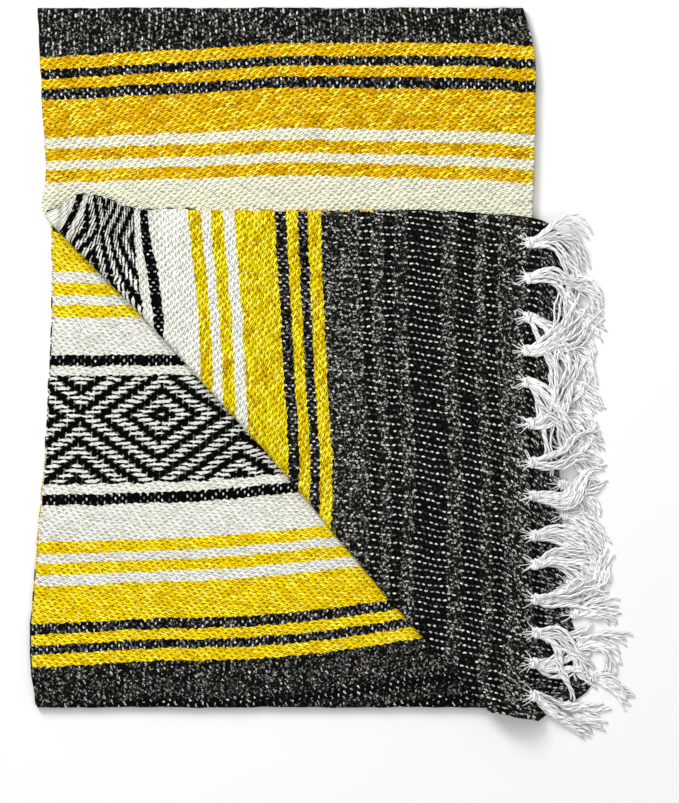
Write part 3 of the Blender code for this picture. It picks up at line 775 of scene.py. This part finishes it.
class Finish:
    """A material with one Principled shader. node adds any node, and feed links its result in."""

    def __init__(self, name, **constants):
        self.material = bpy.data.materials.new(name)
        self.material.use_nodes = True
        self.tree = self.material.node_tree
        self.shader = self.tree.nodes["Principled BSDF"]
        for key, value in constants.items():
            self.shader.inputs[key.replace("_", " ")].default_value = value

    def node(self, kind, settings=None, inputs=(), output=0):
        """Adds a node, sets it up, and fills its sockets with values or links."""
        made = self.tree.nodes.new(kind)
        for key, value in (settings or {}).items():
            if key == "stops":
                ramp_stops = made.color_ramp.elements
                while len(ramp_stops) < len(value):
                    ramp_stops.new(0.5)
                for stop, (position, colour) in zip(ramp_stops, value):
                    stop.position, stop.color = position, colour
            elif key == "ramp":
                made.color_ramp.interpolation = value
            else:
                setattr(made, key, value)
        named = inputs.items() if isinstance(inputs, dict) else enumerate(inputs)
        for key, value in named:
            if isinstance(value, Value):
                self.tree.links.new(value.socket, made.inputs[key])
            else:
                made.inputs[key].default_value = value
        return Value(self, made.outputs[output])

    def feed(self, **links):
        """Links values into the shader's sockets."""
        for key, value in links.items():
            self.tree.links.new(value.socket, self.shader.inputs[key.replace("_", " ")])

    def place(self, name):
        """The three numbers of a stored attribute."""
        vector = self.node("ShaderNodeAttribute", {"attribute_name": name}, output="Vector")
        return [self.node("ShaderNodeSeparateXYZ", None, [vector], output=k) for k in range(3)]

    def joined(self, x, y, z=0.0):
        return self.node("ShaderNodeCombineXYZ", None, [x, y, z])

    def noise(self, vector, scale, detail=2.0, roughness=0.5):
        inputs = {"Vector": vector, "Scale": scale, "Detail": detail, "Roughness": roughness}
        return self.node("ShaderNodeTexNoise", None, inputs)

    def chance(self, vector):
        """A random number from 0 to 1 for each whole-numbered place."""
        return self.node("ShaderNodeTexWhiteNoise", {"noise_dimensions": "3D"}, {"Vector": vector})

    def mix(self, share, start, end):
        """A colour between two, by the share."""
        inputs = {"Factor": share, 6: start, 7: end}
        return self.node("ShaderNodeMix", {"data_type": "RGBA"}, inputs, output=2)


# %% [markdown]
# ## The weave
# The stripes are weft, beaten down so that it hides most of the warp, which shows only as small
# pale ticks. An image laid on the mesh could do it, but it would blur close up and stretch at
# the folds. So the finish reads where it is on the cloth: the stripe comes from the distance to
# the nearest end, the yarns from rows of short rounded floats, and the ticks from staggered
# grids. The same numbers drive the bump, so light and colour agree.

# %% The stripe plan, in picks from the middle of a block outwards
PICK = 0.00122
END_HEATHER = 205
BLOCK = 480
STRIPES = (
    # kind, picks wide, from the middle of the diamond band outwards
    ("diamond", 53.5),
    ("white", 10.5),
    ("black", 10),
    ("white", 37.5),
    ("yellow", 12.5),
    ("white", 9.5),
    ("yellow", 12.5),
    ("white", 10.5),
    ("yellow", 39.5),
    ("black", 10.5),
    ("yellow", 11),
    ("black", 10.5),
    ("yellow", 12),
)
BLOCK_CENTRE = (END_HEATHER + BLOCK / 2) * PICK
PLAN_REACH = 400.0


def stripe_stops(kind):
    """Ramp stops that are white where a stripe of this kind lies, and black elsewhere."""
    stops, at = [], 0.0
    for stripe, picks in STRIPES + (("heather", 0),):
        stops.append((at / PLAN_REACH, (1.0,) * 4 if stripe == kind else (0.0, 0.0, 0.0, 1.0)))
        at += picks
    return stops


print("block:", 2 * sum(picks for _, picks in STRIPES), "picks")

# %% Colours of the yarns, linear
YELLOW = (1.000, 0.735, 0.003, 1.0)
# lemon and warm copies of the yellow: partly their own hue, partly painted shade, being darker
YELLOW_LEMON_SHADED = (0.800, 0.660, 0.004, 1.0)
YELLOW_WARM_SHADED = (0.800, 0.460, 0.002, 1.0)
# painted highlight for the crowns of yellow floats
YELLOW_CROWN_HIGHLIGHT = (1.000, 0.880, 0.070, 1.0)
ORANGE = (0.540, 0.280, 0.002, 1.0)
# painted shade for the gaps between yellow floats
YELLOW_GAP_SHADE = (0.140, 0.060, 0.000, 1.0)
WHITE = (0.880, 0.885, 0.810, 1.0)
WHITE_WARM = (0.870, 0.855, 0.640, 1.0)
WHITE_SHADE = (0.700, 0.700, 0.590, 1.0)
# painted shade for the gaps between white floats
WHITE_GAP_SHADE = (0.220, 0.220, 0.160, 1.0)
BLACK = (0.0020, 0.0020, 0.0020, 1.0)
# painted shade for the gaps between heather floats
BLACK_GAP_SHADE = (0.0005, 0.0005, 0.0005, 1.0)
CHARCOAL = (0.0030, 0.0030, 0.0020, 1.0)
GREY = (0.560, 0.560, 0.500, 1.0)
PALE_WARP = (0.780, 0.720, 0.400, 1.0)
TICK = (0.840, 0.840, 0.790, 1.0)

# %% Where a point lies on the cloth, in picks, and how far the weave wanders there
FLOAT_LENGTH = 7.6
ROW_HEIGHT = 3.35
FLOAT_STAGGER = 0.41
ROW_SLOPE = 0.15
FLOAT_SLOPE = 2.6
weave = Finish("woven_wool", Roughness=0.95, Specular_IOR_Level=0.03)
across, along, _ = weave.place("cloth_place")
px_across, px_along = across / PICK, along / PICK
wander = weave.noise(weave.joined(px_across * 0.05, px_along * 0.05), 1.0, 2.0) - 0.5
ragged = weave.noise(weave.joined(px_across * 0.20, px_along * 0.45), 1.0, 1.0) - 0.5
fine = weave.noise(weave.joined(px_across * 0.55, px_along * 0.9, 3.0), 1.0, 2.0, 0.6)
from_end = CLOTH_LENGTH / PICK / 2 - (px_along - CLOTH_LENGTH / PICK / 2).abs()
in_block = (from_end - BLOCK_CENTRE / PICK).abs()
tuck = ((px_across / FLOAT_LENGTH).fract() - 0.5).abs() * 2.6 - 0.65
from_block = in_block + wander * 3.0 + ragged * 2.6 + tuck
masks = {
    kind: weave.node(
        "ShaderNodeValToRGB",
        {"ramp": "CONSTANT", "stops": stripe_stops(kind)},
        [from_block / PLAN_REACH],
    )
    for kind in ("yellow", "white", "black", "diamond")
}
print("stripe masks:", ", ".join(masks))

# %% Floats of the weft: slanted rounded yarns in staggered rows
slanted = px_along + px_across.abs() * ROW_SLOPE + wander * 5.0 + ragged * 2.2
row = (slanted / ROW_HEIGHT).floor()
float_at = (px_across.abs() + ragged * 3.0) / FLOAT_LENGTH + row * FLOAT_STAGGER
tilted = (slanted + (float_at.fract() - 0.5) * FLOAT_SLOPE) / ROW_HEIGHT
in_row = tilted.fract()
off_middle = (float_at.fract() - 0.5).abs() * 2
crown = 1 - ((in_row - 0.5) * 2).power(2)
swell = 1 - off_middle.power(3)
yarn_height = crown * (swell * 0.6 + 0.4)
yarn_chance = weave.chance(weave.joined(float_at.floor(), row, 0.0))
gap_chance = weave.chance(weave.joined(float_at.floor(), (tilted + 0.5).floor(), 4.0))
# painted shade: this mask darkens the colour in the grooves between neighbouring floats
between_yarns = 1 - crown.eased(0.10, 0.75)
near_middle = 1 - off_middle.eased(0.50, 1.0) * 0.8
gap_shade = (between_yarns * near_middle * (gap_chance * 1.25 + 0.42)).least(1.0)
print("floats", FLOAT_LENGTH, "picks long, in rows", ROW_HEIGHT, "picks high")

# %% Ticks of the warp: small pale bars on grids, each bright, faint or missing by chance
def ticks(columns_at, rows_at, pitches, half_sizes, stagger, seed):
    """How strongly the warp shows here, and the chance number of the nearest tick.

    Pitches and half sizes are across and along, in picks. A tick is an ellipse: the squares of
    the distances off its middle over its half sizes are summed, and the sum is eased out.
    """
    column = columns_at / pitches[0]
    row_at = rows_at / pitches[1] + column.floor() * stagger
    off_column = (column.fract() - 0.5).abs() * pitches[0]
    off_row = (row_at.fract() - 0.5).abs() * pitches[1]
    away = (off_column / half_sizes[0]).power(2) + (off_row / half_sizes[1]).power(2)
    chance = weave.chance(weave.joined(column.floor(), row_at.floor(), seed))
    return 1 - away.eased(0.45, 1.35), chance


scattered = px_along.eased(1100.0, 1200.0)
dipping = px_across + px_along * 0.12 + wander * 7.0 + ragged * (scattered * 6.0 + 1.4)
rows_at = px_along + wander * 5.0 + ragged * (scattered * 5.0 + 2.0)
dot_sizes = (0.95 - scattered * 0.15, 1.80 - scattered * 0.55)
dot, dot_chance = ticks(
    dipping, rows_at, pitches=(6.8, 5.5), half_sizes=dot_sizes, stagger=0.31, seed=7.0
)
stripe_bar, stripe_chance = ticks(
    px_across + ragged * 1.6, in_block + ragged * 1.0 + 0.75,
    pitches=(3.7, 7.0), half_sizes=(0.80, 1.50), stagger=0.5, seed=9.0,
)
band_bar, band_chance = ticks(
    px_across + ragged * 2.0, from_end,
    pitches=(6.6, 4.6), half_sizes=(0.60, 2.3), stagger=0.5, seed=11.0,
)
peep, peep_chance = ticks(
    px_across + ragged * 2.0, px_along + ragged * 2.0,
    pitches=(7.6, 8.4), half_sizes=(0.55, 2.2), stagger=0.37, seed=13.0,
)
print("nodes so far:", len(weave.tree.nodes))

# %% [markdown]
# ## Heather and diamonds
# The heather is spun from dark and light fibres together, so it is charcoal with grey flecks
# and the odd coloured one. The diamond bands are pale floats over black, in nested lozenges.
# Both could be painted images, but counted in picks they follow the cloth round every fold.

# %% Heather: charcoal with ticks and stray grey fibres, and darker bands near the ends
BANDS = (
    # picks from the nearest end: from, to
    (29, 41),
    (52, 71),
    (86, 120),
    (133, 144),
    (156, 166),
)
dark_band = None
for low, high in BANDS:
    at = from_end + ragged * 3.0
    inside = at.eased(low - 1.5, low + 1.5) * (1 - at.eased(high - 1.5, high + 1.5))
    dark_band = inside if dark_band is None else dark_band.most(inside)
grain_across = (px_across + ragged * 5.0 + px_along * 0.35) / 1.25
grain_along = (px_along + ragged * 4.0) / 1.5
grain = weave.chance(weave.joined(grain_across.floor(), grain_along.floor(), 5.0))
patchy = weave.noise(weave.joined(px_across * 0.16, px_along * 0.30, 8.0), 1.0, 2.0)
open_weave = 1 - dark_band * 0.96
liveliness = 1.45 - px_along.eased(190.0, 215.0) * 0.75
fleck = (grain.power(11.0) * 1.2 + 0.005) * (patchy * 2.6 - 0.4).most(0.1) * open_weave * liveliness
heather = weave.mix(fleck.least(1.0), CHARCOAL, GREY)
COMMON_SHARE = 0.994
stray_at = weave.joined((px_across / 3.0).floor(), (px_along / 2.5).floor(), 2.0)
stray = (weave.chance(stray_at) > COMMON_SHARE) * open_weave
stray_stops = (
    (0.0, (0.30, 0.22, 0.02, 1.0)),
    (0.5, (0.20, 0.04, 0.02, 1.0)),
    (0.7, (0.04, 0.09, 0.22, 1.0)),
)
stray_ramp = {"ramp": "CONSTANT", "stops": stray_stops}
stray_hue = weave.node("ShaderNodeValToRGB", stray_ramp, [(grain * 9.0).fract()])
heather = weave.mix(stray * 0.7, heather, stray_hue)
shown_dot = dot_chance * 1.4 - open_weave * 0.45
heather_tick = dot * shown_dot.most(0.0).least(1.0)
print("dark bands:", len(BANDS), "at each end")

# %% Diamonds: nested lozenges of pale tapered floats on black
LOZENGE_REPEAT = 168.0
LOZENGE_SHIFT = 0.73
LOZENGE_ROW = 4.6
LOZENGE_STEP = 6.6
LOZENGE_PERIOD = 4.15
LOZENGE_START = 1.3
LOZENGE_RISE = 14.5
above_centre = from_end - BLOCK_CENTRE / PICK - LOZENGE_RISE
band_row = (above_centre + wander * 5.0 + ragged * 3.6) / LOZENGE_ROW
lozenge_across = (px_across + ragged * 4.0) / LOZENGE_REPEAT + LOZENGE_SHIFT
nearest = (lozenge_across.fract() - 0.5).abs() * (LOZENGE_REPEAT / LOZENGE_STEP)
nest = (nearest + (band_row + 0.5).floor().abs() - LOZENGE_START) / LOZENGE_PERIOD
off_nest = (nest.fract() - 0.5).abs() / 0.31
off_band_row = ((band_row + 0.5).fract() - 0.5).abs() / 0.33
pale_float = 1 - (off_nest.power(2) + off_band_row.power(2)).eased(0.65, 1.20)
band_tick = band_bar * (1 - off_nest.eased(0.85, 1.30))
band_tick = band_tick * (band_chance * 3.0 - 0.2).most(0.0).least(1.0)
pale = pale_float.most(band_tick * 0.85)
print("lozenges every", LOZENGE_REPEAT, "picks")

# %% [markdown]
# ## Joining the colours
# Each stripe takes one dye, and each float in it is a little lighter or darker at random,
# because yarn never takes colour evenly. Light and shade are painted in too: shade in the gaps
# between floats, a highlight on the crowns of the yellow floats, and a darker yellow, lemon on
# ply a short of the second block and warm on all of ply b. The stripes could be painted by hand,
# but the plan above already gives a mask for each dye, so the colours are mixed one over the other.

# %% Colours joined
tone = (yarn_chance * 0.80 + fine * 0.9 - 0.35).most(0.0).least(1.0)
on_ply_b = across.eased(-0.02, 0.02)
# painted light and shade: the yellow is painted darker, lemon on ply a short of the second block
# and warm on all of ply b, and lighter with fewer orange floats in the second block
second_block_lit = px_along.eased(600.0, 700.0)
yellow = weave.mix(on_ply_b, weave.mix(second_block_lit, YELLOW_LEMON_SHADED, YELLOW), YELLOW_WARM_SHADED)
yellow = weave.mix(tone.eased(0.0, 0.45).most(second_block_lit * 0.60), ORANGE, yellow)
# painted highlight: yellow floats are lighter on their crowns, more so on lighter random tones
yellow = weave.mix((tone * crown).eased(0.40, 0.85) * 0.9, yellow, YELLOW_CROWN_HIGHLIGHT)
# painted shade in the gaps between yellow floats
yellow = weave.mix(gap_shade * 0.95, yellow, YELLOW_GAP_SHADE)
white = weave.mix(tone.eased(0.0, 0.50), WHITE_SHADE, weave.mix(on_ply_b, WHITE, WHITE_WARM))
# painted shade in the gaps between white floats
white = weave.mix(gap_shade * 0.75, white, WHITE_GAP_SHADE)
peeping = peep * (peep_chance * 2.2 - 1.1).most(0.0).least(0.8)
yellow = weave.mix(peeping, yellow, PALE_WARP)
white = weave.mix(peeping * 0.6, white, PALE_WARP)
# painted shade in the gaps between heather floats
heather = weave.mix(gap_shade * 0.5, heather, BLACK_GAP_SHADE)
colour = weave.mix(heather_tick, heather, TICK)
colour = weave.mix(masks["yellow"], colour, yellow)
colour = weave.mix(masks["white"], colour, white)
stripe_tick = stripe_bar * (stripe_chance * 1.6 - 0.45).most(0.0).least(1.0)
fuzz = fleck * in_block.eased(150.0, 160.0) * 0.7
dark = weave.mix(stripe_tick, weave.mix(fuzz.least(1.0), BLACK, GREY), TICK)
colour = weave.mix(masks["black"], colour, dark)
colour = weave.mix(masks["diamond"], colour, weave.mix(pale, BLACK, WHITE))
height = yarn_height + heather_tick * 0.6 + pale * masks["diamond"] * 1.2
bump = weave.node("ShaderNodeBump", None, {"Strength": 1.0, "Distance": 0.0016, "Height": height})
weave.feed(Base_Color=colour, Normal=bump)
cloth.data.materials.append(weave.material)
print("woven wool:", len(weave.tree.nodes), "nodes")

# %% [markdown]
# ## The fringe's cotton
# The tassels are undyed cotton, matt, and a little uneven from yarn to yarn. An image could
# show the twist, but each yarn already stores how far it has turned, so that number paints
# shade into the groove between its two threads.

# %% The fringe's finish
YARN_DULL = (0.72, 0.72, 0.71, 1.0)
YARN_BRIGHT = (0.98, 0.98, 0.97, 1.0)
# painted shade for the groove between a yarn's two threads
YARN_GROOVE_SHADE = (0.10, 0.10, 0.09, 1.0)
cotton = Finish("fringe_yarn", Roughness=0.90, Specular_IOR_Level=0.15)
turned, which, _ = cotton.place("yarn_place")
# painted shade: darkest in the groove between the two twisted threads
groove_shade = 1 - ((turned.fract() - 0.5).abs() * 2).eased(0.0, 0.55)
yarn_tone = cotton.mix(which, YARN_DULL, YARN_BRIGHT)
yarn_colour = cotton.mix(groove_shade * 0.68, yarn_tone, YARN_GROOVE_SHADE)
cotton.feed(Base_Color=yarn_colour)
for piece in fringes:
    piece.data.materials.append(cotton.material)
for name in ("fringe_tucked_lower", "fringe_tucked_upper"):
    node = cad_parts[name]
    node.data.materials.clear()
    node.data.materials.append(cotton.material)
print("fringe yarn:", len(cotton.tree.nodes), "nodes")

# %% The sheet
print("sheet declared:", CLOTH_WIDTH, "by", CLOTH_LENGTH, "m, folded")

# %% [markdown]
# ## Floor, light and camera
# The photograph looks straight down at the blanket on a white ground, under broad soft light
# from beyond its upper left corner. A sun lamp would draw hard edges, so the lamps are wide
# squares. A long lens from high up keeps the sides of the pile out of view.

# %% The floor
floor_points = np.array([(-4.0, -4.0, 0.0), (4.0, -4.0, 0.0), (4.0, 4.0, 0.0), (-4.0, 4.0, 0.0)])
floor_mesh = bpy.data.meshes.new("floor")
floor_mesh.from_pydata(floor_points.tolist(), [], [(0, 1, 2, 3)])
floor = bpy.data.objects.new("floor", floor_mesh)
bpy.context.scene.collection.objects.link(floor)
FLOOR_WHITE = (0.825, 0.825, 0.825, 1.0)
floor_finish = Finish("pale_floor", Base_Color=FLOOR_WHITE, Roughness=0.95, Specular_IOR_Level=0.0)
floor_mesh.materials.append(floor_finish.material)
print("floor", np.ptp(floor_points[:, 0]), "m square")

# %% The lights
def area_light(name, place, aim, size, power):
    """A square lamp at a place, turned so that its -Z axis points at the aim."""
    lamp = bpy.data.lights.new(name, "AREA")
    lamp.shape, lamp.size, lamp.energy = "SQUARE", size, power
    holder = bpy.data.objects.new(name, lamp)
    bpy.context.scene.collection.objects.link(holder)
    holder.location = place
    away = np.subtract(aim, place)
    yaw = math.atan2(away[1], away[0]) - math.pi / 2
    pitch = math.atan2(math.hypot(away[0], away[1]), -away[2])
    holder.rotation_euler = (pitch, 0.0, yaw)


area_light("key", (-1.8, 2.5, 2.3), (0.0, 0.0, 0.0), 1.4, 125.0)
area_light("top", (-0.5, 1.5, 2.9), (0.0, 0.0, 0.0), 1.6, 22.0)
area_light("fill", (0.6, -1.4, 3.2), (0.2, -0.2, 0.0), 2.6, 29.0)
world = bpy.data.worlds.new("studio")
world.use_nodes = True
world.node_tree.nodes["Background"].inputs["Color"].default_value = (1.0, 1.0, 1.0, 1.0)
world.node_tree.nodes["Background"].inputs["Strength"].default_value = 0.46
bpy.context.scene.world = world
bpy.context.scene.view_settings.view_transform = "Standard"
print("lamps:", [lamp.name for lamp in bpy.data.lights])

# %% The camera
VIEW_CENTRE = (0.0641, -0.0543)
VIEW_HEIGHT = 0.97966
CAMERA_Z = 6.0
camera_data = bpy.data.cameras.new("camera")
camera_data.sensor_width = 36.0
camera_data.lens = camera_data.sensor_width * CAMERA_Z / VIEW_HEIGHT
camera_data.clip_end = 20.0
camera = bpy.data.objects.new("camera", camera_data)
bpy.context.scene.collection.objects.link(camera)
camera.location = (*VIEW_CENTRE, CAMERA_Z)
bpy.context.scene.camera = camera
print("lens", round(camera_data.lens, 1), "mm, from", CAMERA_Z, "m up")
